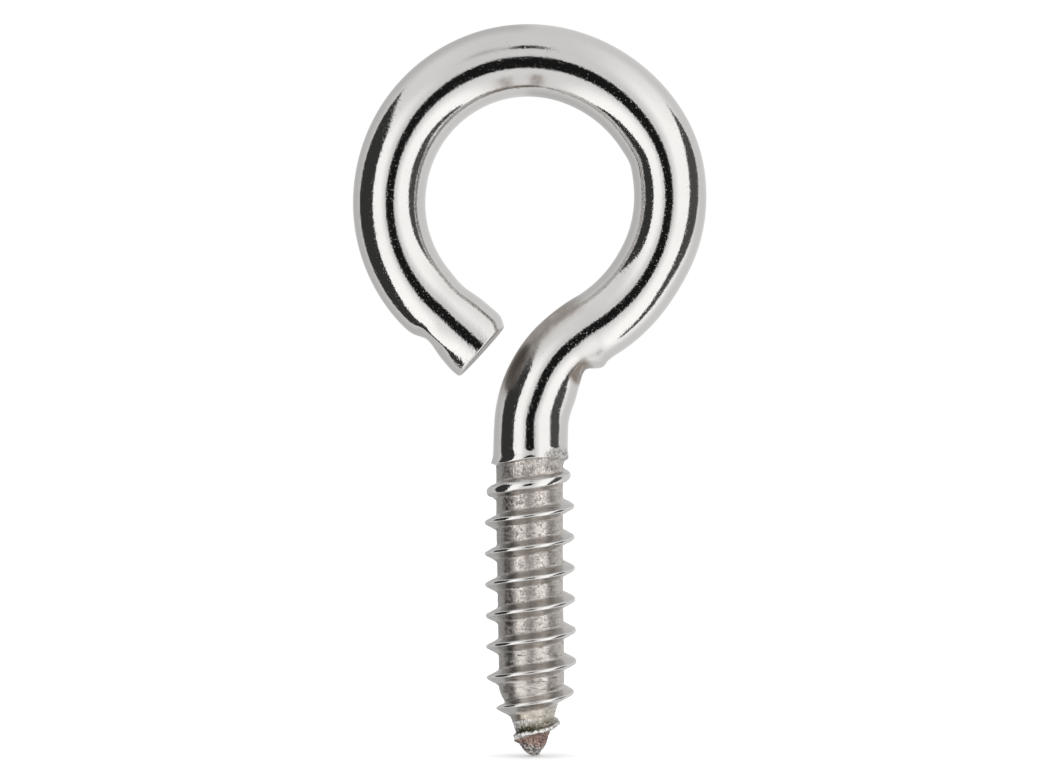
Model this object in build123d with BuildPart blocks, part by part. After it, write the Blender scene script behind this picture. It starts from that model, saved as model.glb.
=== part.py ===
from build123d import *
from math import asin, cos, degrees, radians, sqrt, tan
import os

# A screw eye: one length of round wire, bent into a ring at the top and rolled into a wood-screw thread
# below. Each block makes one worked region of the wire, and the regions meet face to face.
#
# Frame: the shank's axis is Z, with +Z towards the ring, and the ring lies in the XZ plane. The origin is on
# the shank's axis where the thread starts, so the thread is below it and the ring above. -Y is the front.

# Driving dimensions, in millimetres and degrees
wire_radius = 3.0
ring_radius = 11.5  # of the wire's centre line
neck_radius = 9.0  # of the wire's centre line, bent the other way
plain_length = 2.8
thread_length = 24.3  # from the shoulder to the end of the point

tail_angle = 228.0  # where the ring's arc ends, counted from +X towards +Z
tail_length = 5.35
tail_cut_angle = 2.0  # how far the sheared face turns towards the front
tail_edge_radius = 0.4

pitch = 2.54
root_radius = 2.69
crest_radius = 3.66
crest_land = 0.4
flank_angle = 29.0  # of each flank, from the plane across the axis
ridge_depth_in_core = 0.25
first_crest_z = -1.31  # where the first turn's crest passes +X
turns_below = 7  # whole turns from there to the start of the taper
shoulder_chamfer = 0.2
start_crest_radius = 2.9  # the ridge's crest at the shoulder
full_crest_z = -2.7  # where the crest has grown to its full radius

taper_start_z = -18.3
taper_angle = 17.8  # half of the cone's angle
nose_start_z = -22.9
nose_pull_point = (1.05, -23.9)  # the nose's outline bends towards this point
last_crest_radius = 1.45  # of the ridge where the nose starts
crest_pull_point = (3.2, -20.6)  # the ridge's outline on the taper bends towards this point
ridge_end_radius = 0.8
ridge_end_z = -23.45  # where the ridge's outline has sunk into the nose

# The ring's centre stands on the shank's axis, and both bends are tangent where they meet
centre_gap = ring_radius + neck_radius
ring_height = plain_length + sqrt(centre_gap**2 - neck_radius**2)
bend_angle = degrees(asin(neck_radius / centre_gap))
loop_start = bend_angle - 90.0
loop_turn = tail_angle - loop_start
neck_turn = 90.0 - bend_angle

os.makedirs("parts", exist_ok=True)


def ridge_outline(core_radius, centre_z):
    """The ridge's section where it stands on the core, with its base reaching a little inside."""
    top = core_radius + crest_radius - root_radius
    bottom = core_radius - ridge_depth_in_core
    half_land = crest_land / 2
    half_base = half_land + (top - bottom) * tan(radians(flank_angle))
    Polyline(
        (bottom, centre_z - half_base),
        (top, centre_z - half_land),
        (top, centre_z + half_land),
        (bottom, centre_z + half_base),
        close=True,
    )


# The ring: an arc over the top, from the neck round to the tail
with BuildPart() as eye_loop:
    with BuildLine(Plane.XZ) as loop_path:
        CenterArc((0, ring_height), ring_radius, loop_start, loop_turn)
    with BuildSketch(Plane(loop_path.line @ 0, z_dir=loop_path.line % 0)):
        Circle(wire_radius)
    sweep()
eye_loop.part.label = "eye_loop"

# The tail: a straight run off the end of the ring, sheared a little out of square and with a softened edge
tail_start = loop_path.line @ 1
tail_direction = loop_path.line % 1
square_cut = Plane(tail_start + tail_direction * tail_length, x_dir=(0, -1, 0), z_dir=tail_direction)
with BuildPart() as tail_end:
    with BuildSketch(Plane(tail_start, z_dir=tail_direction)):
        Circle(wire_radius)
    extrude(amount=tail_length + wire_radius)
    split(bisect_by=square_cut.rotated((0, tail_cut_angle, 0)), keep=Keep.BOTTOM)
    cut_face = tail_end.faces().filter_by(GeomType.PLANE).sort_by_distance(square_cut.origin)[0]
    fillet(cut_face.edges(), tail_edge_radius)
tail_end.part.label = "tail_end"

# The neck: the reverse bend that brings the wire back onto the shank's axis
with BuildPart() as neck_bend:
    with BuildLine(Plane.XZ) as neck_path:
        CenterArc((neck_radius, plain_length), neck_radius, 180.0, -neck_turn)
    with BuildSketch(Plane(neck_path.line @ 0, z_dir=neck_path.line % 0)):
        Circle(wire_radius)
    sweep()
neck_bend.part.label = "neck_bend"

# The plain shank: the full wire, down to the shoulder where rolling starts
with BuildPart() as plain_shank:
    with BuildSketch(Plane.XY):
        Circle(wire_radius)
    extrude(amount=plain_length)
    chamfer(plain_shank.edges().sort_by(Axis.Z)[0], shoulder_chamfer)
plain_shank.part.label = "plain_shank"

# The threaded shank: a right-hand ridge round a core. The ridge runs out through the shoulder, and its
# crest is turned down there, so it grows to full height over the first turn.
ridge_start_z = first_crest_z - turns_below * pitch
with BuildPart() as threaded_shank:
    with BuildLine():
        Helix(pitch, (turns_below + 1) * pitch, root_radius, center=(0, 0, ridge_start_z))
    with BuildSketch(Plane.XZ):
        with BuildLine():
            ridge_outline(root_radius, ridge_start_z)
        make_face()
    sweep(is_frenet=True)
    with BuildSketch(Plane.XZ):
        with BuildLine():
            Polyline(
                (0, taper_start_z),
                (crest_radius, taper_start_z),
                (crest_radius, full_crest_z),
                (start_crest_radius, 0),
                (0, 0),
                close=True,
            )
        make_face()
    revolve(axis=Axis.Z, mode=Mode.INTERSECT)
    with BuildSketch(Plane.XY.offset(taper_start_z)):
        Circle(root_radius)
    extrude(amount=-taper_start_z)
threaded_shank.part.label = "threaded_shank"

# The gimlet point: the core tapers to a blunt nose, and the ridge follows it down and sinks into it. The
# core's outline is drawn on the YZ plane, so that its seam stands clear of the ridge's first section.
taper_slope = tan(radians(taper_angle))
point_turns = 3
point_start_z = ridge_start_z - 2 * pitch
point_start_radius = root_radius - (taper_start_z - point_start_z) * taper_slope
nose_radius = root_radius - (taper_start_z - nose_start_z) * taper_slope
with BuildPart() as point_ridge:
    with BuildLine():
        Helix(
            pitch / cos(radians(taper_angle)),
            point_turns * pitch,
            point_start_radius,
            center=(0, 0, point_start_z),
            cone_angle=taper_angle,
        )
    with BuildSketch(Plane.XZ):
        with BuildLine():
            ridge_outline(point_start_radius, point_start_z)
        make_face()
    sweep(is_frenet=True)
    with BuildSketch(Plane.XZ):
        with BuildLine():
            Line((0, taper_start_z), (crest_radius, taper_start_z))
            Bezier((crest_radius, taper_start_z), crest_pull_point, (last_crest_radius, nose_start_z))
            Line((last_crest_radius, nose_start_z), (ridge_end_radius, ridge_end_z))
            Polyline((ridge_end_radius, ridge_end_z), (0, ridge_end_z), (0, taper_start_z))
        make_face()
    revolve(axis=Axis.Z, mode=Mode.INTERSECT)
with BuildPart() as gimlet_point:
    with BuildSketch(Plane.YZ):
        with BuildLine():
            Polyline((0, -thread_length), (0, taper_start_z), (root_radius, taper_start_z))
            Line((root_radius, taper_start_z), (nose_radius, nose_start_z))
            Bezier((nose_radius, nose_start_z), nose_pull_point, (0, -thread_length))
        make_face()
    revolve(axis=Axis.Z)
    add(point_ridge.part)
gimlet_point.part.label = "gimlet_point"

for piece in (eye_loop, tail_end, neck_bend, plain_shank, threaded_shank, gimlet_point):
    export_step(piece.part, f"parts/{piece.part.label}.step")
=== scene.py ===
from math import cos, degrees, pi, radians, sin, sqrt, tan

import bpy
import numpy as np
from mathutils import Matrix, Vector, noise


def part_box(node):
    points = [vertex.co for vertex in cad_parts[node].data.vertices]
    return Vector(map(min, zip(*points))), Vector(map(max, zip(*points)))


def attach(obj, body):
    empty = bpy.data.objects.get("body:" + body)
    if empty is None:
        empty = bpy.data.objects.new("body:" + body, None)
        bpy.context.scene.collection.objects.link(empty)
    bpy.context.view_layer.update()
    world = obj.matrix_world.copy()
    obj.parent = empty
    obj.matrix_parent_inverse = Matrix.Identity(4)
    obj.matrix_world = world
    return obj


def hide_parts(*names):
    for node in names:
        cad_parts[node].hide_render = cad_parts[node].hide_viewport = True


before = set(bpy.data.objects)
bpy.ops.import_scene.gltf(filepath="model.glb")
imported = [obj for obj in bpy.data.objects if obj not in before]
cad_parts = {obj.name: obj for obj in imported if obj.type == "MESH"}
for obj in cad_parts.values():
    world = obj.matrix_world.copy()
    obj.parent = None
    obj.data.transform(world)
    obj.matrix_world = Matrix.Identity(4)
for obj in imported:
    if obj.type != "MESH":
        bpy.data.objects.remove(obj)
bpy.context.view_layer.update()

# A screw eye of bright plated wire. Two meshes replace the CAD model's plain solids: the bent wire, with the
# marks that the tools left on it, and the rolled thread with its point. Sizes are in millimetres up to the
# moment a mesh is made. The front is -Y, and angles round the shank count from +X towards +Y.

MM = 0.001


def node_box(name):
    """A CAD node's lowest and highest corners, in millimetres."""
    low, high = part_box(name)
    return Vector(low) / MM, Vector(high) / MM


# Sizes that the frame gives
loop_low, loop_high = node_box("eye_loop")
shank_low, shank_high = node_box("plain_shank")
point_low, point_high = node_box("gimlet_point")
cad_wire_radius = (shank_high.x - shank_low.x) / 2
ring_radius = (loop_high.x - loop_low.x) / 2 - cad_wire_radius
ring_height = loop_high.z - ring_radius - cad_wire_radius
plain_length = shank_high.z
rise = ring_height - plain_length
neck_radius = (rise**2 - ring_radius**2) / (2 * ring_radius)
taper_start_z = point_high.z
point_end_z = point_low.z

# The wire, as measured across the ring and down the shank
ring_wire_radius = 2.967
neck_wire_radius = 3.02
shank_wire_radius = 3.07
tail_angle = 228.0  # where the ring's arc ends, counted from +X towards +Z
tail_length = 5.35
tail_cut_angle = 2.0  # how far the cut face leans towards the front
cut_edge_radius = 0.15

# The shank's lower end goes in over the shoulder, and its mesh closes inside the thread
shoulder_edge_radius = 0.12
shoulder_slope_height = 0.12
shoulder_slope_radius = 2.8
wire_closing_radius = 2.3
wire_closing_drop = 0.1
wire_closing_z = -1.2

# The thread
pitch = 2.54
root_radius = 2.69
first_crest_z = -1.31  # where the first turn's crest passes +X
flank_angle = 27.0
crest_rounding = 0.14
root_rounding = 0.24
taper_angle = 17.8
nose_width = 1.13  # the blunt nose's radius, 1 mm up from its end
thread_top_z = first_crest_z + pitch  # where the thread's mesh closes, inside the wire
thread_top_radius = 2.4


def ease(value, low, high):
    """From 0 at low to 1 at high, with no slope at either end."""
    t = np.clip((value - low) / (high - low), 0, 1)
    return t * t * (3 - 2 * t)


def bump(value, centre, before, after):
    """A smooth hump of height 1, with its own width on each side of the centre."""
    width = np.where(value < centre, before, after)
    return np.exp(-(((value - centre) / width) ** 2))


def window(value, low, high, edge):
    """1 from low to high, falling to 0 over the edge's width outside them."""
    return ease(value, low - edge, low) * (1 - ease(value, high, high + edge))


def away_from(turn, side):
    """Degrees round the wire from one of its sides."""
    return np.abs((np.degrees(turn) - side + 180) % 360 - 180)


def facing(turn, side, inner, outer):
    """1 within the inner angle from one of the wire's sides, falling to 0 at the outer angle."""
    return 1 - ease(away_from(turn, side), inner, outer)


def smooth_max(a, b, radius):
    """The larger of two, rounded where they cross."""
    blend = np.maximum(radius - np.abs(a - b), 0) / radius
    return np.maximum(a, b) + blend**2 * radius / 4


def smooth_min(a, b, radius):
    """The smaller of two, rounded where they cross."""
    return -smooth_max(-a, -b, radius)


def grain(points, size, seed, octaves):
    """Smooth noise at these points, about -1 to 1, with features of this size."""
    offset = Vector((seed * 17.3, seed * 5.1, seed * 9.7))
    values = [
        noise.fractal(Vector(p) + offset, 1.0, 2.0, octaves, noise_basis="PERLIN_ORIGINAL")
        for p in (points / np.asarray(size)).tolist()
    ]
    return np.array(values)


def with_poles(values, first, last):
    """A mask's values for every point, with those of the two points that close the mesh's ends."""
    return np.append(values.reshape(-1), [first, last])


def make_piece(name, points, faces, replaced, masks, material):
    """A smooth-shaded mesh from points in millimetres, riding on the root body. Masks are named values, one
    for each point, that the material reads."""
    mesh = bpy.data.meshes.new(name)
    mesh.from_pydata((points * MM).tolist(), [], faces)
    for mask, values in masks.items():
        attribute = mesh.attributes.new(mask, "FLOAT", "POINT")
        attribute.data.foreach_set("value", values.astype(np.float32))
    mesh.materials.append(material)
    mesh.shade_smooth()
    mesh.update()
    piece = bpy.data.objects.new(name, mesh)
    bpy.context.scene.collection.objects.link(piece)
    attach(piece, "root")
    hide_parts(*replaced)
    return piece


# The bent wire ------------------------------------------------------------------------------------------

bend_turn = 90 - degrees(np.arcsin(neck_radius / (ring_radius + neck_radius)))
ring_turn = tail_angle + bend_turn
ring_start = tail_length
neck_start = ring_start + radians(ring_turn) * ring_radius
shank_start = neck_start + radians(bend_turn) * neck_radius
shank_end = shank_start + plain_length
wire_around = 120  # points round the wire
face_fractions = [0.12, 0.3, 0.5, 0.7, 0.86, 0.95]  # where the cut face's rows lie, from its middle out


def centre_line(station):
    """The wire's centre at a distance from the cut face: its point and its direction, as (x, z)."""
    if station < ring_start:
        end = radians(tail_angle)
        direction = np.array([sin(end), -cos(end)])
        joint = np.array([ring_radius * cos(end), ring_height + ring_radius * sin(end)])
        return joint - direction * (ring_start - station), direction
    if station < neck_start:
        a = radians(tail_angle) - (station - ring_start) / ring_radius
        point = np.array([ring_radius * cos(a), ring_height + ring_radius * sin(a)])
        return point, np.array([sin(a), -cos(a)])
    if station < shank_start:
        a = pi - radians(bend_turn) + (station - neck_start) / neck_radius
        point = np.array([neck_radius * (1 + cos(a)), plain_length + neck_radius * sin(a)])
        return point, np.array([-sin(a), cos(a)])
    return np.array([0.0, plain_length - (station - shank_start)]), np.array([0.0, -1.0])


def on_ring(angle):
    """The station of a place on the ring, by its angle from +X towards +Z."""
    return ring_start + radians(tail_angle - angle) * ring_radius


def on_neck(angle):
    """The station of a place on the neck, by its angle about the neck's own centre."""
    return neck_start + radians(angle - 180 + bend_turn) * neck_radius


# The marks that bending and shearing left. Side 0 is the ring's outside, which runs on along the inside of
# the neck's bend, and side 180 is the ring's inside. A negative height is a dent.
#   (height, station, width before, width after, half angle round the wire, edge of that angle, side)
TOOL_MARKS = [
    (-0.64, 3.96, 1.44, 0.92, 50, 26, 0),  # the pinch on the tail
    (0.15, 3.96, 1.44, 0.92, 74, 30, 0),  # the metal that it pushed up on each side
    (0.09, 0.66, 0.8, 0.8, 70, 70, 0),  # the tail's outer edge, spread by the shear
    (-0.17, 4.65, 1.2, 1.3, 70, 70, 180),  # the hollow opposite the pinch
    (-0.4, 0.0, 0.55, 0.55, 80, 80, 180),  # the tail's inner corner, rolled over by the shear
    (-0.28, on_ring(-33), 3.2, 5.0, 90, 90, 0),  # the ring's lower right side, flattened outside
    (0.12, on_ring(-33), 3.2, 4.0, 90, 90, 180),  # and a little fuller inside
    (-0.1, on_ring(20), 1.2, 1.2, 80, 80, 180),  # a shallow hollow inside the ring's right
    (0.34, on_neck(122.5), 0.94, 1.02, 58, 58, 0),  # the lip above the die mark
    (-0.36, on_neck(134.5), 0.72, 1.41, 54, 30, 0),  # the die mark
    (0.31, on_neck(160.5), 2.04, 2.67, 60, 60, 0),  # metal crowded into the bend's inside
    (-0.34, on_neck(132), 3.2, 6.5, 88, 88, 180),  # the bend's flattened outside
]

# How far the bent wire strays outwards from true arcs: (station, distance)
BEND_DRIFT = [
    (0.0, 0.12),
    (ring_start - 2.5, 0.14),
    (ring_start, 0.24),
    (on_ring(205), 0.17),
    (on_ring(170), 0.02),
    (on_ring(100), 0.0),
    (on_ring(62), -0.13),
    (on_ring(40), -0.06),
    (on_ring(20), 0.1),
    (on_ring(-8), -0.07),
    (on_ring(-45), 0.08),
    (neck_start, 0.1),
    (neck_start + 2, 0.0),
]


def wire_radius_at(stations):
    """The wire's own radius: a little more on the neck than on the ring, and more again on the shank."""
    on_the_neck = ease(stations, neck_start - 4, neck_start + 4)
    on_the_shank = ease(stations, shank_start - 2, shank_start + 2)
    radius = ring_wire_radius + (neck_wire_radius - ring_wire_radius) * on_the_neck
    return radius + (shank_wire_radius - neck_wire_radius) * on_the_shank


def bend_drift(stations):
    """The stray of the bend, evened out along the wire."""
    places, distances = zip(*BEND_DRIFT)
    samples = [np.interp(stations + shift, places, distances) for shift in (-1.8, -0.9, 0.0, 0.9, 1.8)]
    return sum(samples) / len(samples)


def tool_mark_height(stations, turn):
    """How far the marks stand out at each station (rows) and angle round the wire (columns)."""
    total = np.zeros((len(stations), len(turn)))
    for height, centre, before, after, half_angle, edge, side in TOOL_MARKS:
        across = facing(turn, side, half_angle - edge, half_angle)
        total += height * np.outer(bump(stations, centre, before, after), across)
    return total


def bent_section(stations, turn):
    """Bending makes the round section slightly egg-shaped, fuller towards the inside of the bend."""
    ring = window(stations, ring_start, neck_start - 3, 3)
    neck = window(stations, neck_start + 2, shank_start - 3, 3)
    return np.outer(0.03 * ring - 0.07 * neck, np.cos(3 * turn) - np.cos(turn))


def side_radii(stations, turn):
    """From the centre line to the wire's side, at each station (rows) and angle round it (columns)."""
    side = wire_radius_at(stations)[:, None] + tool_mark_height(stations, turn)
    return side + np.outer(bend_drift(stations), np.cos(turn)) + bent_section(stations, turn)


def shoulder_z(turn):
    """The shoulder isn't square: it is lowest on the left, and highest at the front of the right side."""
    slant = np.cos(turn) * np.where(np.cos(turn) < 0, 0.28, 0.05)
    return -0.02 + slant + 0.28 * np.exp(-((away_from(turn, 72) / 50) ** 2))


def wire_rows():
    """Stations down the wire's side, closer together where tools have marked it."""
    spans = [
        (0, ring_start + 1, 0.1),
        (ring_start + 1, neck_start - 2, 0.26),
        (neck_start - 2, on_neck(150), 0.085),
        (on_neck(150), shank_start, 0.15),
        (shank_start, shank_end, 0.14),
    ]
    rows = [np.arange(start, end - step / 2, step) for start, end, step in spans]
    return np.append(np.concatenate(rows), shank_end)


def corner_rows(radius, count=6):
    """A quarter circle as (inset from the side, distance from the end face), from the side to the face."""
    angles = np.linspace(0, pi / 2, count)
    return [(radius * (1 - cos(a)), radius * (1 - sin(a))) for a in angles]


def cut_end_rows(rim):
    """Rows of (radius, station) from the cut face's middle out to its rim, and round the edge there."""
    rows = [((rim - cut_edge_radius) * f, np.zeros(wire_around)) for f in face_fractions]
    for inset, back in reversed(corner_rows(cut_edge_radius)):
        rows.append((rim - inset, np.full(wire_around, back)))
    return rows


def shoulder_rows(rim, turn):
    """Rows of (radius, station) round the shank's lower edge, in over the shoulder and inside the thread."""
    slope_start = shank_end - shoulder_z(turn) + shoulder_edge_radius
    corner = corner_rows(shoulder_edge_radius)[1:]
    rows = [(rim - inset, slope_start - back) for inset, back in corner]
    edge_radius = rows[-1][0]
    for f in (0.25, 0.5, 0.75, 1.0):
        radius = edge_radius * (1 - f) + shoulder_slope_radius * f
        rows.append((radius, slope_start + shoulder_slope_height * f))
    rows.append((np.full(wire_around, wire_closing_radius), rows[-1][1] + wire_closing_drop))
    return rows


def wire_points(radii, stations, turn):
    """Every point of the wire, in millimetres. Past the bends the stations run straight on down the shank."""
    points = np.empty((*radii.shape, 3))
    bent = np.minimum(stations, shank_start)
    for i in range(radii.shape[0]):
        for j in range(radii.shape[1]):
            (x, z), (tx, tz) = centre_line(bent[i, j])
            out = radii[i, j] * cos(turn[j])
            down = stations[i, j] - bent[i, j]
            points[i, j] = (x - tz * out + tx * down, -radii[i, j] * sin(turn[j]), z + tx * out + tz * down)
    return points.reshape(-1, 3)


def tube_faces(rows, start_pole, end_pole):
    """Quads between the rows round the wire, and a fan of triangles at each end."""
    n = wire_around
    faces = []
    for i in range(rows - 1):
        for j in range(n):
            k = (j + 1) % n
            faces.append((i * n + j, i * n + k, (i + 1) * n + k, (i + 1) * n + j))
    last_row = (rows - 1) * n
    for j in range(n):
        k = (j + 1) % n
        faces.append((start_pole, k, j))
        faces.append((last_row + j, last_row + k, end_pole))
    return faces


def wire_masks(stations, turn):
    """Where the plating changes: the cut face, stains with partly painted shade in the die mark, the rubbed
    neck with painted shade on it, the die mark's lip, the tail's end and the chipped shoulder."""
    cut = np.zeros(stations.shape)
    cut[: len(face_fractions) + 1] = 1
    # Partly painted shade: the brown in the die mark is a stain, and also stands in for the shade in the
    # dent.
    die_mark_stain_and_shade = window(stations, on_neck(133), on_neck(144), 0.9) * facing(turn, 0, 46, 64)
    smudge = bump(stations, on_ring(87), 0.7, 0.7) + 0.8 * bump(stations, on_ring(102), 0.8, 0.8)
    smudge = smudge * facing(turn, 127, 5, 14)
    pit = bump(stations, on_neck(145), 0.9, 0.45) * facing(turn, 32, 8, 22)
    stain_and_shade = np.maximum(np.maximum(die_mark_stain_and_shade, 0.75 * smudge), pit)
    # A rougher rubbed patch on the neck's outside; its darker brown colour is painted shade.
    rub_and_shade = window(stations, on_neck(122), on_neck(161), 1.6) * facing(turn, 180, 44, 70)
    lip = window(stations, on_neck(117), on_neck(131), 0.8) * facing(turn, 0, 62, 84)
    shear_end = np.exp(-stations / 0.9) * (1 + np.cos(turn)) / 2
    chips = ease(stations, shank_end - 1.1, shank_end - 0.4) * facing(turn, 22, 28, 50)
    return {
        "cut": with_poles(cut, 1, 0),
        "stain_and_shade": with_poles(stain_and_shade, 0, 0),
        "rub_and_shade": with_poles(rub_and_shade, 0, 0),
        "lip": with_poles(lip, 0, 0),
        "shear_end": with_poles(shear_end, 0, 0),
        "chips": with_poles(chips, 0, 0),
    }


def build_wire(material):
    """The ring, tail, neck and plain shank, as one closed mesh."""
    turn = np.arange(wire_around) * 2 * pi / wire_around
    stations = wire_rows()
    side = side_radii(stations, turn)
    cut_rows = cut_end_rows(side[0])
    below_edge = stations > cut_edge_radius * 1.3
    side = side[below_edge]
    stations = np.repeat(stations[below_edge][:, None], wire_around, axis=1)

    # The side ends at the shoulder's uneven line, and flares a little towards it
    drop = -shoulder_z(turn)[None, :] * ease(stations, shank_start + 0.6, shank_end)
    flare = 0.08 + 0.1 * np.clip(-np.cos(turn), 0, 1)[None, :]
    side = side + flare * ease(stations, shank_end - 0.75, shank_end + 0.1)
    end_rows = shoulder_rows(side[-1], turn)
    radii = np.vstack([[r for r, _ in cut_rows], side, [r for r, _ in end_rows]])
    stations = np.vstack([[s for _, s in cut_rows], stations + drop, [s for _, s in end_rows]])

    # The cut face leans towards the front, so the front of the tail is the shorter side
    lean = tan(radians(tail_cut_angle)) * np.clip(1 - stations / 3, 0, 1)
    stations = stations + lean * (radii * np.sin(turn))

    points = wire_points(radii, stations, turn)
    faces = tube_faces(len(radii), len(points), len(points) + 1)
    (cut_x, cut_z), _ = centre_line(0.0)
    points = np.vstack([points, [[cut_x, 0, cut_z], [0, 0, wire_closing_z]]])
    return make_piece(
        "eye_wire",
        points,
        faces,
        ["eye_loop", "tail_end", "neck_bend", "plain_shank"],
        wire_masks(stations, turn),
        material,
    )


# The rolled thread --------------------------------------------------------------------------------------

thread_around = 120  # points in each turn of the mesh
even_turns = 9  # the mesh's turns at the full pitch, from its top down
tip_turns = 4  # the turns below them, which close up on the tip
tip_reach = 0.998  # how much of the way to the very tip those go

# The crest's outline down the thread: (height where the crest passes, its radius)
CREST_OUTLINE = [
    (-23.9, 0.55),
    (-23.4, 1.1),
    (-22.9, 1.48),
    (-21.5, 2.31),
    (-20.45, 2.93),
    (-19.1, 3.46),
    (-18.2, 3.71),
    (-3.8, 3.69),
    (-2.58, 3.53),
    (-1.95, 3.47),
    (-1.31, 3.38),
    (-0.3, 2.95),
    (0.9, 2.4),
]


def row_offsets():
    """Distances of the mesh's rows below a crest, over one pitch, closest together on the ridge."""
    near = np.arange(0.04, 0.62, 0.04)
    far = np.array([0.66, 0.72, 0.78, 0.85, 0.92, 1.0, 1.09, 1.18])
    side = np.concatenate([near, far])
    return np.concatenate([[0], side, [pitch / 2], pitch - side[::-1]])


def core_radius(z):
    """The thread's root: straight, then a cone, then a blunt nose."""
    cone = root_radius - (taper_start_z - z) * tan(radians(taper_angle))
    cone = np.where(z > taper_start_z, root_radius, cone)
    nose = nose_width * np.clip(z - point_end_z, 0, None) ** 0.6
    swell = 0.05 * (1 - ease(-z, 3, 12)) + 0.15 * ease(z, -0.7, 0.0)
    return smooth_min(cone, nose, 0.12) + swell


def axis_x(z):
    """The thread isn't quite straight: it runs from a little left of the axis to a little right of it."""
    return -0.05 + 0.28 * ease(-z, 4, 28)


def land_half_width(z):
    """Half of the crest's flat: broad on the first turn, then narrow."""
    return 0.12 + 0.2 * bump(z, -2.1, 0.9, 1.1) - 0.02 * ease(-z, 14.0, 20.0)


def burr_z(theta):
    """The height of the ragged last crest, below which the steel is bare."""
    return -22.45 + 0.45 * np.cos(theta)


def thread_grid():
    """Every point's angle and height, and how far the turns' tilt to the left has lowered it. The rows
    follow the helix, and they close up below the even turns, so that they end at the tip."""
    offsets = row_offsets()
    index = np.arange((even_turns + tip_turns) * len(offsets) + 1)
    down = index // len(offsets) + offsets[index % len(offsets)] / pitch
    angle = np.arange(thread_around) * 2 * pi / thread_around
    turns = down[:, None] - angle[None, :] / (2 * pi)
    left = thread_top_z - pitch * even_turns - point_end_z
    rate = left / pitch
    z = thread_top_z - pitch * np.minimum(turns, even_turns)
    z = z - left * (1 - np.exp(-np.maximum(turns - even_turns, 0) / rate)) * tip_reach
    theta = np.broadcast_to(angle[None, :], z.shape)
    tilt = 0.05 * (1 - np.cos(theta)) * (1 - ease(turns, 8.0, 9.2))
    return theta, z - tilt, tilt


def nearest_crest(theta, z, tilt):
    """The height of the crest nearest to each point, and how far below its middle the point lies."""
    crests_down = (first_crest_z - tilt - z) / pitch + theta / (2 * pi)
    crest = np.round(crests_down)
    crest_z = first_crest_z - tilt + pitch * (theta / (2 * pi) - crest)
    return crest_z, (crests_down - crest) * pitch


def thread_grain(theta, z, size, seed, octaves=2):
    """Noise over the thread's root, with a value for each point."""
    root = np.stack([root_radius * np.cos(theta), root_radius * np.sin(theta), z], axis=-1)
    return grain(root.reshape(-1, 3), size, seed, octaves).reshape(z.shape)


def ridge_outline(crest_top, half_land, from_crest):
    """The ridge's radius at a distance from its middle: a crowned crest, then straight flanks."""
    crown = 0.9 * np.minimum(from_crest**2, 0.2)
    flank = crest_top - (np.abs(from_crest) - half_land) / tan(radians(flank_angle))
    return smooth_min(crest_top - crown, flank, crest_rounding)


def thread_masks(theta, z, radius, core, crest_top, burr, bare):
    """Where the surface changes: polished crests, rough roots, the first turn's folds, creases and dust lower
    down, a speckled near-black band just above the burr, the burr and the bare tip; and where painted shade
    darkens the roots at the sides."""
    height = crest_top - core_radius(z)
    on_crest = ease(radius, crest_top - 0.1, crest_top - 0.03) * ease(height, 0.1, 0.4)
    on_root = 1 - ease(radius - core, 0.06, 0.22)
    # A speckled near-black band just above the burr, strongest at the left front.
    dark_band_round = 0.3 + 0.7 * bump(np.degrees(theta), 228, 36, 40)
    dark_band = bump(z - burr_z(theta), 0.5, 0.2, 0.4) * dark_band_round * ease(z, point_end_z, point_end_z + 1)
    # Painted shade: the roots are darkened on the left, standing in for the dark flag's reflection, and a
    # little on the right.
    side_shade = ease(-np.cos(theta), 0.5, 0.85) + 0.3 * ease(np.cos(theta), 0.6, 0.85)
    return {
        "crest": with_poles(on_crest, 0, 0),
        "root": with_poles(on_root, 1, 1),
        "bare": with_poles(bare * (1 - 0.9 * on_crest), 0, 1),
        "dark_band": with_poles(dark_band, 0, 0),
        "side_shade": with_poles(side_shade, 0, 0),
        "folded": with_poles(ease(z, -2.6, -1.6), 1, 0),
        "creased": with_poles(ease(-z, 14, 17), 0, 0),
        "dusty": with_poles(ease(-z, 19.6, 21.4), 0, 0),
        "tip_end": with_poles(ease(-z - 0.25 * np.cos(theta), 23.0, 23.8), 0, 1),
        "burr": with_poles(burr * ease(radius, crest_top - 0.2, crest_top - 0.05), 0, 0),
    }


def helical_faces(rows, per_pitch):
    """Quads along the helix. Past the last column a row runs on as the row one pitch above."""
    n = thread_around
    faces = []
    for r in range(rows - 1):
        for i in range(n - 1):
            faces.append((r * n + i, (r + 1) * n + i, (r + 1) * n + i + 1, r * n + i + 1))
        if r >= per_pitch:
            up = (r - per_pitch) * n
            faces.append((r * n + n - 1, (r + 1) * n + n - 1, up + n, up))
    return faces


def helical_caps(rows, per_pitch, top_pole, tip_pole):
    """Fans that close the two stepped ends: the top one lies inside the wire, the other is the very tip."""
    n = thread_around
    last = rows - 1
    top = list(range(n)) + [r * n + n - 1 for r in range(1, per_pitch + 1)]
    tip = [last * n + i for i in range(n - 1, -1, -1)]
    tip += [r * n for r in range(last - 1, last - per_pitch - 1, -1)]
    faces = []
    for loop, pole in ((top, top_pole), (tip, tip_pole)):
        for a, b in zip(loop, loop[1:] + loop[:1]):
            faces.append((a, b, pole))
    return faces


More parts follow.
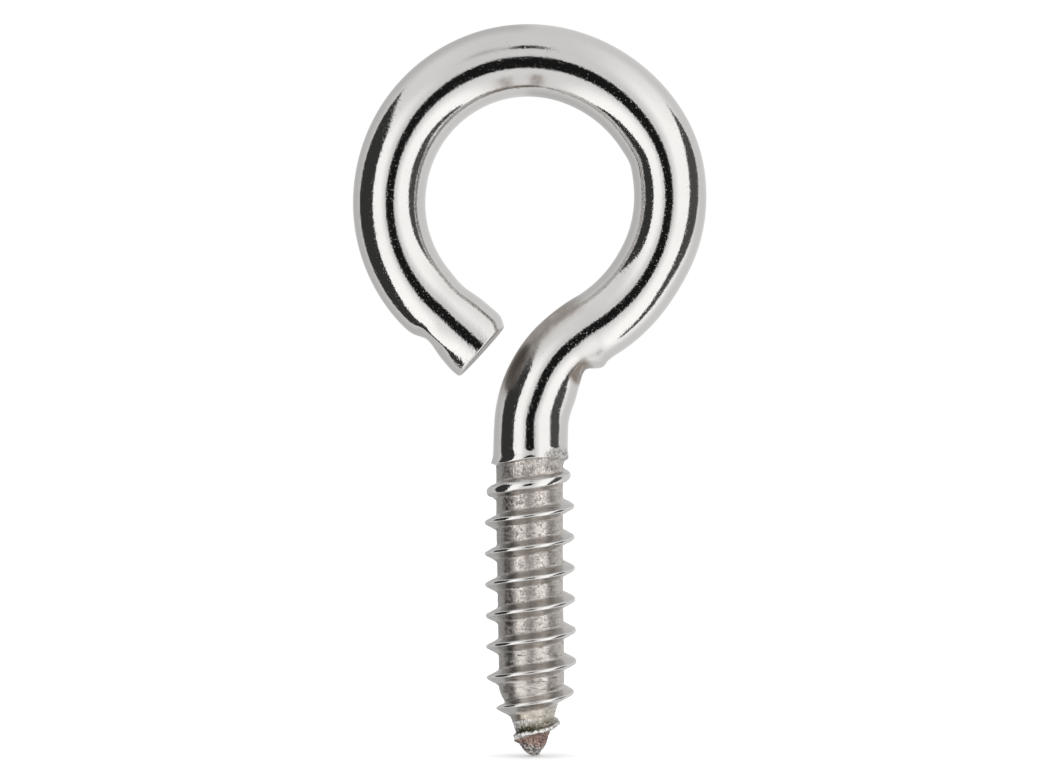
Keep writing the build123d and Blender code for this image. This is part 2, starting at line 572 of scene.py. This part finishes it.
def build_thread(material):
    """The threaded shank and the point, as one closed mesh."""
    theta, z, tilt = thread_grid()
    crest_z, from_crest = nearest_crest(theta, z, tilt)
    blotch = thread_grain(theta, z, (0.55, 0.55, 0.4), 1, 3)
    streak = thread_grain(theta, z, (1.6, 1.6, 0.22), 2)
    fold = thread_grain(theta, z, (0.3, 0.3, 1.1), 3)
    ragged = thread_grain(theta, z, (0.28, 0.28, 0.35), 4)
    burr = bump(crest_z, -22.6, 1.0, 0.9)
    bare = ease(burr_z(theta) - z, -0.05, 0.12)

    near_shoulder = ease(z, -2.2, -0.6)
    core = core_radius(z)
    core = core + 0.006 * blotch + 0.012 * streak + 0.035 * fold * near_shoulder + 0.07 * ragged * bare
    core = core + bump(z, -19.1, 0.8, 0.9) * (0.05 - 0.13 * np.cos(theta))
    half_land = land_half_width(crest_z) * (1 + 0.25 * streak) + burr * (0.03 + 0.12 * ragged)
    crest_top = np.interp(crest_z, *zip(*CREST_OUTLINE)) + burr * (0.03 + 0.24 * ragged)
    radius = smooth_max(core, ridge_outline(crest_top, half_land, from_crest), root_rounding)
    radius = np.maximum(radius, 0)
    inside_wire = ease(z - shoulder_z(-theta), 0.02, 0.4)
    radius = radius * (1 - inside_wire) + thread_top_radius * inside_wire

    x = radius * np.cos(theta) + axis_x(z)
    points = np.stack([x, radius * np.sin(theta), z], axis=-1).reshape(-1, 3)
    rows, per_pitch = len(z), len(row_offsets())
    faces = helical_faces(rows, per_pitch) + helical_caps(rows, per_pitch, len(points), len(points) + 1)
    points = np.vstack([points, [[0, 0, thread_top_z], [float(axis_x(point_end_z)), 0, point_end_z]]])
    masks = thread_masks(theta, z, radius, core, crest_top, burr, bare)
    return make_piece(
        "screw_thread", points, faces, ["threaded_shank", "gimlet_point"], masks, material
    )


# Materials ----------------------------------------------------------------------------------------------


class Graph:
    """Adds nodes to a shader tree and links them, so that a pattern reads like a formula."""

    def __init__(self, tree):
        self.tree = tree
        tree.nodes.clear()

    def put(self, socket, value):
        """Links a node's output to the socket, or sets a plain number or colour on it."""
        if isinstance(value, bpy.types.NodeSocket):
            self.tree.links.new(value, socket)
        else:
            socket.default_value = value

    def node(self, kind, inputs=None, **settings):
        """A new node with these inputs, by name, and these settings."""
        made = self.tree.nodes.new(kind)
        for name, value in settings.items():
            setattr(made, name, value)
        for name, value in (inputs or {}).items():
            self.put(made.inputs[name], value)
        return made

    def math(self, operation, *values):
        made = self.tree.nodes.new("ShaderNodeMath")
        made.operation = operation
        for socket, value in zip(made.inputs, values):
            self.put(socket, value)
        return made.outputs[0]

    def times(self, *values):
        product = values[0]
        for value in values[1:]:
            product = self.math("MULTIPLY", product, value)
        return product

    def ease(self, value, low, high, start=0.0, end=1.0):
        """From start to end as the value goes from low to high, with no slope at either end."""
        inputs = {"Value": value, "From Min": low, "From Max": high, "To Min": start, "To Max": end}
        made = self.node("ShaderNodeMapRange", inputs, interpolation_type="SMOOTHSTEP")
        return made.outputs["Result"]

    def mix(self, factor, a, b):
        """A colour between two, for a factor from 0 to 1."""
        made = self.node("ShaderNodeMix", data_type="RGBA")
        self.put(made.inputs[0], factor)
        self.put(made.inputs[6], a)
        self.put(made.inputs[7], b)
        return made.outputs[2]

    def blend(self, factor, a, b):
        """A number between two, for a factor from 0 to 1."""
        made = self.node("ShaderNodeMix", data_type="FLOAT")
        self.put(made.inputs[0], factor)
        self.put(made.inputs[2], a)
        self.put(made.inputs[3], b)
        return made.outputs[0]

    def mask(self, name):
        """The values that the mesh holds under this name."""
        return self.node("ShaderNodeAttribute", attribute_name=name).outputs["Fac"]

    def pattern(self, size, detail=2.0, stretch=(1, 1, 1), roughness=0.5):
        """Noise with features about this many millimetres across, in the piece's own coordinates."""
        place = self.node("ShaderNodeTexCoord").outputs["Object"]
        scale = [1 / (size * MM * s) for s in stretch]
        mapped = self.node("ShaderNodeMapping", {"Vector": place, "Scale": scale}).outputs[0]
        inputs = {"Vector": mapped, "Scale": 1.0, "Detail": detail, "Roughness": roughness}
        return self.node("ShaderNodeTexNoise", inputs).outputs["Fac"]

    def bump(self, height, depth, normal=None):
        """The normal of a relief. Its depth is the height of a full step, in millimetres."""
        inputs = {"Height": height, "Strength": 1.0, "Distance": depth * MM}
        if normal is not None:
            inputs["Normal"] = normal
        return self.node("ShaderNodeBump", inputs).outputs["Normal"]


def new_material(name):
    material = bpy.data.materials.new(name)
    material.use_nodes = True
    return material, Graph(material.node_tree)


def finish_metal(g, colour, roughness, normal):
    """The metal's shader and the material's output."""
    inputs = {"Base Color": colour, "Roughness": roughness, "Normal": normal}
    shader = g.node("ShaderNodeBsdfPrincipled", inputs)
    shader.inputs["Metallic"].default_value = 1.0
    output = g.node("ShaderNodeOutputMaterial")
    g.tree.links.new(shader.outputs[0], output.inputs["Surface"])


# Colours of the metal: linear red, green and blue, then alpha
NICKEL = (0.70, 0.685, 0.67, 1)
NICKEL_CLOUD = (0.66, 0.645, 0.63, 1)
NICKEL_SPECK = (0.5, 0.48, 0.46, 1)
# Painted shade: the rubbed patch's darker brown
RUBBED_AND_SHADED = (0.42, 0.38, 0.345, 1)
# Brown of the stains, and painted shade in the die mark
BROWN_STAIN_AND_SHADE = (0.27, 0.225, 0.19, 1)
CHIPPED = (0.30, 0.27, 0.245, 1)
SHEARED_PALE = (0.40, 0.385, 0.37, 1)
SHEARED_DARK = (0.24, 0.225, 0.21, 1)
FLANK = (0.55, 0.53, 0.51, 1)
ROOT_PALE = (0.85, 0.80, 0.755, 1)
ROOT_WARM = (0.64, 0.59, 0.55, 1)
ROOT_SHADE = (0.42, 0.39, 0.36, 1)
ROOT_SCRATCH = (0.40, 0.37, 0.34, 1)
# Painted shade for the roots at the sides
ROOT_SIDE_SHADE = (0.36, 0.35, 0.34, 1)
CURL = (0.31, 0.275, 0.25, 1)
CREASE = (0.12, 0.10, 0.09, 1)
KHAKI_PALE = (0.72, 0.66, 0.57, 1)
KHAKI_DARK = (0.56, 0.50, 0.41, 1)
NEAR_BLACK_OLIVE = (0.07, 0.065, 0.035, 1)
# Painted highlight: the burr's white, brighter than the plating
BURR_HIGHLIGHT_WHITE = (0.96, 0.95, 0.93, 1)
BURR_DARK = (0.45, 0.42, 0.38, 1)
COPPER_PALE = (0.50, 0.34, 0.28, 1)
COPPER_DARK = (0.13, 0.09, 0.09, 1)
TIP_PALE = (0.62, 0.60, 0.58, 1)
TIP_BLACK = (0.07, 0.07, 0.07, 1)


def bright_nickel():
    """Mirror-like plating with a very fine grain, a greyer sheared face, brown stains, the one in the die
    mark partly painted shade of the dent, chips at the shoulder and a rougher rubbed patch on the outside of
    the neck, whose darker brown is painted shade."""
    material, g = new_material("bright_nickel")
    cloud = g.pattern(2.5, 2)
    specks = g.pattern(0.18, 3)
    cut = g.mask("cut")
    stain_and_shade = g.times(g.mask("stain_and_shade"), g.ease(g.pattern(0.5, 3), 0.2, 0.6, 0.5, 1.0))
    rub_and_shade = g.times(g.mask("rub_and_shade"), g.ease(g.pattern(0.5, 3, (1, 1, 3)), 0.2, 0.6, 0.6, 1.0))
    chips = g.times(g.mask("chips"), g.ease(g.pattern(0.3, 3), 0.4, 0.6))
    shear_streaks = g.pattern(0.3, 3, (0.5, 1, 2.5))
    colour = g.mix(cloud, NICKEL, NICKEL_CLOUD)
    colour = g.mix(g.ease(specks, 0.68, 0.78), colour, NICKEL_SPECK)
    # Painted shade: darker brown on the outside of the neck
    colour = g.mix(rub_and_shade, colour, RUBBED_AND_SHADED)
    # Stains, with partly painted shade in the die mark
    colour = g.mix(stain_and_shade, colour, BROWN_STAIN_AND_SHADE)
    colour = g.mix(chips, colour, CHIPPED)
    colour = g.mix(cut, colour, g.mix(shear_streaks, SHEARED_PALE, SHEARED_DARK))

    roughness = g.ease(cloud, 0.3, 0.7, 0.055, 0.08)
    roughness = g.blend(rub_and_shade, roughness, 0.38)
    roughness = g.blend(g.mask("lip"), roughness, 0.26)
    roughness = g.blend(g.math("MAXIMUM", cut, stain_and_shade), roughness, 0.36)

    pimples = g.ease(g.pattern(0.14, 1), 0.6, 0.8)
    normal = g.bump(g.pattern(0.2, 2), 0.005)
    normal = g.bump(pimples, 0.0035, normal)
    normal = g.bump(g.times(g.mask("chips"), g.pattern(0.26, 3)), 0.42, normal)
    normal = g.bump(g.times(g.mask("shear_end"), g.pattern(0.3, 3)), 0.08, normal)
    finish_metal(g, colour, roughness, normal)
    return material


def thin_lines(g, field, width):
    """1 along the middle level of a pattern, which wanders like a crease."""
    return g.ease(g.math("ABSOLUTE", g.math("SUBTRACT", field, 0.5)), 0.0, width, 1.0, 0.0)


def root_curls(g, root, creased, blotches):
    """Small curled flakes that rolling left in patches on the roots, fainter where they are creased."""
    curls = thin_lines(g, g.pattern(0.2, 2, (1, 1, 1.4)), 0.045)
    return g.times(curls, g.ease(blotches, 0.40, 0.52), g.times(root, g.blend(creased, 1.0, 0.25)))


def root_creases(g, root, creased, dusty):
    """Long thin cracks round the lower roots, down to the dusty cone."""
    creases = thin_lines(g, g.pattern(1.0, 3, (2.6, 2.6, 0.42)), 0.016)
    creases = g.times(creases, g.ease(g.pattern(1.2, 1), 0.45, 0.55), g.times(creased, root))
    return g.times(creases, g.math("SUBTRACT", 1.0, dusty))


def root_colour(g, creased, dusty, blotches, streaks, strokes):
    """Warm and blotchy, streaked round the thread, khaki on the cone, and with painted shade at the sides,
    darkest on the left, where it stands in for a dark reflection.
    """
    colour = g.mix(g.ease(blotches, 0.3, 0.7), ROOT_WARM, ROOT_PALE)
    shade = g.times(g.ease(streaks, 0.55, 0.3), creased)
    colour = g.mix(g.times(shade, 0.45), colour, ROOT_SHADE)
    colour = g.mix(dusty, colour, g.mix(g.ease(strokes, 0.35, 0.65), KHAKI_DARK, KHAKI_PALE))
    colour = g.mix(g.times(g.ease(streaks, 0.45, 0.36), 0.65), colour, ROOT_SCRATCH)
    # Painted shade: the roots at the left and right sides are darkened.
    return g.mix(g.times(g.mask("side_shade"), 0.8), colour, ROOT_SIDE_SHADE)


def tip_colour(g, blotches, specks):
    """Bare coppery steel, with pale and black specks at its very end."""
    copper = g.mix(g.ease(specks, 0.36, 0.62), COPPER_DARK, COPPER_PALE)
    speckled = g.mix(g.ease(specks, 0.42, 0.58), TIP_BLACK, TIP_PALE)
    return g.mix(g.times(g.mask("tip_end"), g.ease(blotches, 0.35, 0.5)), copper, speckled)


def rolled_nickel():
    """The thread: polished crests, smooth flanks, rough warm roots darkened at the sides with painted shade,
    a white burr whose white flecks are a painted highlight, and a bare coppery tip.
    """
    material, g = new_material("rolled_nickel")
    crest, root, bare, burr = g.mask("crest"), g.mask("root"), g.mask("bare"), g.mask("burr")
    creased, dusty = g.mask("creased"), g.mask("dusty")
    blotches = g.pattern(0.5, 4, (1, 1, 0.7), 0.62)
    streaks = g.pattern(0.4, 3, (3.0, 3.0, 0.42), 0.6)
    strokes = g.pattern(0.3, 2, (0.5, 0.5, 4.0))
    specks = g.pattern(0.16, 3)
    curls = root_curls(g, root, creased, blotches)
    creases = root_creases(g, root, creased, dusty)

    colour = g.mix(root, FLANK, root_colour(g, creased, dusty, blotches, streaks, strokes))
    colour = g.mix(g.times(curls, 0.75), colour, CURL)
    colour = g.mix(g.times(creases, 0.8), colour, CREASE)
    colour = g.mix(crest, colour, NICKEL)
    colour = g.mix(bare, colour, tip_colour(g, blotches, specks))
    # Near-black specks in a band just above the burr
    dark_specks = g.times(g.ease(g.mask("dark_band"), 0.0, 0.6), g.ease(specks, 0.24, 0.46))
    colour = g.mix(dark_specks, colour, NEAR_BLACK_OLIVE)
    # Painted highlight: the burr's white flecks, with darker gaps
    colour = g.mix(burr, colour, g.mix(g.ease(g.pattern(0.3, 3), 0.35, 0.5), BURR_DARK, BURR_HIGHLIGHT_WHITE))

    roughness = g.blend(root, 0.25, g.ease(blotches, 0.3, 0.75, 0.27, 0.34))
    roughness = g.blend(crest, roughness, 0.09)
    roughness = g.blend(bare, roughness, 0.4)
    roughness = g.blend(burr, roughness, 0.3)

    worked = g.blend(g.mask("folded"), streaks, strokes)
    relief = g.math("ADD", g.times(blotches, 0.25), g.times(worked, 0.6))
    relief = g.math("SUBTRACT", relief, g.times(g.math("ADD", curls, creases), 0.4))
    normal = g.bump(g.times(relief, g.math("ADD", root, 0.08)), 0.065)
    normal = g.bump(g.times(burr, g.pattern(0.25, 3)), 0.16, normal)
    normal = g.bump(specks, 0.008, normal)
    finish_metal(g, colour, roughness, normal)
    return material


# Studio -------------------------------------------------------------------------------------------------


def half_plane(g, forward, up, point, direction, softness):
    """1 on the side of a line that direction points to, in the plane of a card: (forward, up)."""
    length = sqrt(direction[0] ** 2 + direction[1] ** 2)
    nx, nz = direction[0] / length, direction[1] / length
    along = g.math("MULTIPLY_ADD", forward, nx, -(point[0] * nx + point[1] * nz))
    distance = g.math("MULTIPLY_ADD", up, nz, along)
    return g.ease(distance, -softness, softness)


def card(g, forward, up, corners, softness):
    """1 inside a convex outline, given anticlockwise, in the plane of a card."""
    inside = None
    for (x0, z0), (x1, z1) in zip(corners, corners[1:] + corners[:1]):
        edge = half_plane(g, forward, up, (x0, z0), (z0 - z1, x1 - x0), softness)
        inside = edge if inside is None else g.math("MULTIPLY", inside, edge)
    return inside


# How bright the tent's dark things are, and the plain light on the floor and in the background
LEFT_FLAG_LIGHT = 0.045
RIGHT_FLAG_LIGHT = 0.09
CAMERA_HOLE_LIGHT = 0.012
FITTING_LIGHT = 0.03
FAINT_FITTING_LIGHT = 0.1
FLOOR_LIGHT = 1.5
BACKGROUND_LIGHT = 1.0

# The flags' outlines beside the object: (forward, up), as parts of the distance out to the card
LEFT_FLAG = [
    (-0.80, 0.53),
    (-0.64, -0.45),
    (-0.42, -0.92),
    (-0.22, -1.35),
    (0.34, -1.35),
    (0.30, -0.1),
    (0.25, 0.4),
    (0.15, 0.92),
]
RIGHT_FLAG = [
    (0.0, 0.8),
    (-0.2, 0.58),
    (-0.42, 0.3),
    (-0.57, -0.3),
    (-0.52, -0.72),
    (-0.2, -0.8),
    (-0.03, -0.42),
    (0.18, 0.0),
    (0.27, 0.33),
    (0.24, 0.48),
]
RIGHT_FLAG_FOOT = [(-0.52, -0.6), (-0.47, -0.88), (-0.28, -1.3), (-0.1, -1.3), (-0.13, -0.6)]


def front_spot(g, x, y, z, centre, radii, softness):
    """An oval spot in front of the object, 1 inside and 0 outside."""
    off_x = g.times(g.math("SUBTRACT", x, centre[0]), 1 / radii[0])
    off_z = g.times(g.math("SUBTRACT", z, centre[1]), 1 / radii[1])
    off = g.math("SQRT", g.math("ADD", g.math("POWER", off_x, 2.0), g.math("POWER", off_z, 2.0)))
    inside = g.ease(off, 1 - softness, 1 + softness, 1.0, 0.0)
    return g.times(inside, g.ease(y, -0.4, -0.3, 1.0, 0.0))


def tent_walls(g, x, y, z, right):
    """Pale cloth, with a brighter panel at each side that fades out towards the top, sooner on the left. The
    back is duller, most of all on the left."""
    panel = g.ease(g.math("ABSOLUTE", x), 0.2, 0.56)
    fade = g.blend(right, g.ease(z, 0.25, 0.62, 1.0, 0.15), g.ease(z, 0.35, 0.95, 1.0, 0.3))
    front = g.ease(y, -0.2, 0.35, 1.0, 0.0)
    back = g.blend(right, 0.62, 0.8)
    cloth = g.blend(g.ease(y, -0.1, 0.75), g.ease(z, -0.6, 0.0, 0.93, 0.85), back)
    return g.math("MULTIPLY_ADD", g.times(panel, fade, front), 0.48, cloth)


def with_flags(g, light, x, y, z, right):
    """A black flag on each side of the object."""
    beside = g.math("MAXIMUM", g.math("ABSOLUTE", x), 0.02)
    forward = g.math("DIVIDE", y, beside)
    up = g.math("DIVIDE", z, beside)
    left_flag = g.times(card(g, forward, up, LEFT_FLAG, 0.035), g.math("SUBTRACT", 1.0, right))
    foot = card(g, forward, up, RIGHT_FLAG_FOOT, 0.05)
    right_flag = g.times(g.math("MAXIMUM", card(g, forward, up, RIGHT_FLAG, 0.06), foot), right)
    light = g.blend(left_flag, light, LEFT_FLAG_LIGHT)
    return g.blend(right_flag, light, RIGHT_FLAG_LIGHT)


def with_front_spots(g, light, x, y, z):
    """The camera's dark opening in front of the object, and two small dark fittings above it."""
    camera_hole = front_spot(g, x, y, z, (-0.02, -0.1), (0.25, 0.33), 0.14)
    light = g.blend(camera_hole, light, CAMERA_HOLE_LIGHT)
    fitting = front_spot(g, x, y, z, (0.0, 0.67), (0.08, 0.07), 0.5)
    light = g.blend(fitting, light, FITTING_LIGHT)
    faint_fitting = front_spot(g, x, y, z, (-0.2, 0.68), (0.08, 0.07), 0.8)
    return g.blend(g.times(faint_fitting, 0.3), light, FAINT_FITTING_LIGHT)


def studio_light():
    """A light tent, pale all round. Only reflections see its pattern: the light on the floor is plain, and so
    is the picture's background."""
    world = bpy.data.worlds.new("light_tent")
    bpy.context.scene.world = world
    world.use_nodes = True
    g = Graph(world.node_tree)
    split = g.node("ShaderNodeSeparateXYZ", {"Vector": g.node("ShaderNodeTexCoord").outputs["Generated"]})
    x, y, z = split.outputs
    right = g.ease(x, -0.05, 0.05)
    light = tent_walls(g, x, y, z, right)
    light = with_flags(g, light, x, y, z, right)
    light = with_front_spots(g, light, x, y, z)

    ways = g.node("ShaderNodeLightPath")
    light = g.blend(ways.outputs["Is Diffuse Ray"], light, FLOOR_LIGHT)
    light = g.blend(ways.outputs["Is Camera Ray"], light, BACKGROUND_LIGHT)
    background = g.node("ShaderNodeBackground", {"Color": (1.0, 1.0, 1.0, 1), "Strength": light})
    output = g.node("ShaderNodeOutputWorld")
    g.tree.links.new(background.outputs[0], output.inputs["Surface"])


def pale_floor():
    """A plain pale floor just under the tip. It isn't seen in the metal, where the tent goes all round."""
    half = 1.5  # metres
    gap_below_tip = 0.00004
    z = point_end_z * MM - gap_below_tip
    corners = [(-half, -half, z), (half, -half, z), (half, half, z), (-half, half, z)]
    mesh = bpy.data.meshes.new("floor")
    mesh.from_pydata(corners, [], [(0, 1, 2, 3)])
    material, g = new_material("pale_paper")
    tone = g.mix(g.pattern(30.0, 2), (0.90, 0.90, 0.90, 1), (0.92, 0.92, 0.92, 1))
    shader = g.node("ShaderNodeBsdfDiffuse", {"Color": tone})
    output = g.node("ShaderNodeOutputMaterial")
    g.tree.links.new(shader.outputs[0], output.inputs["Surface"])
    mesh.materials.append(material)
    floor = bpy.data.objects.new("floor", mesh)
    bpy.context.scene.collection.objects.link(floor)
    floor.visible_glossy = False


def add_camera():
    """Level, square on to the ring, from a third of a metre away. Lengths are in metres."""
    distance = 0.33
    picture_width = 0.0868  # what the picture takes in at the object
    picture_middle = (-0.00006, 0.00566)  # where it is centred there, as (x, z)
    camera = bpy.data.cameras.new("camera")
    camera.sensor_width = 36.0
    camera.lens = camera.sensor_width * distance / picture_width
    camera.clip_start = 0.01
    holder = bpy.data.objects.new("camera", camera)
    holder.location = (picture_middle[0], -distance, picture_middle[1])
    holder.rotation_euler = (pi / 2, 0, 0)
    bpy.context.scene.collection.objects.link(holder)
    bpy.context.scene.camera = holder


add_camera()
studio_light()
pale_floor()
build_wire(bright_nickel())
build_thread(rolled_nickel())
bpy.context.scene.view_settings.view_transform = "Standard"
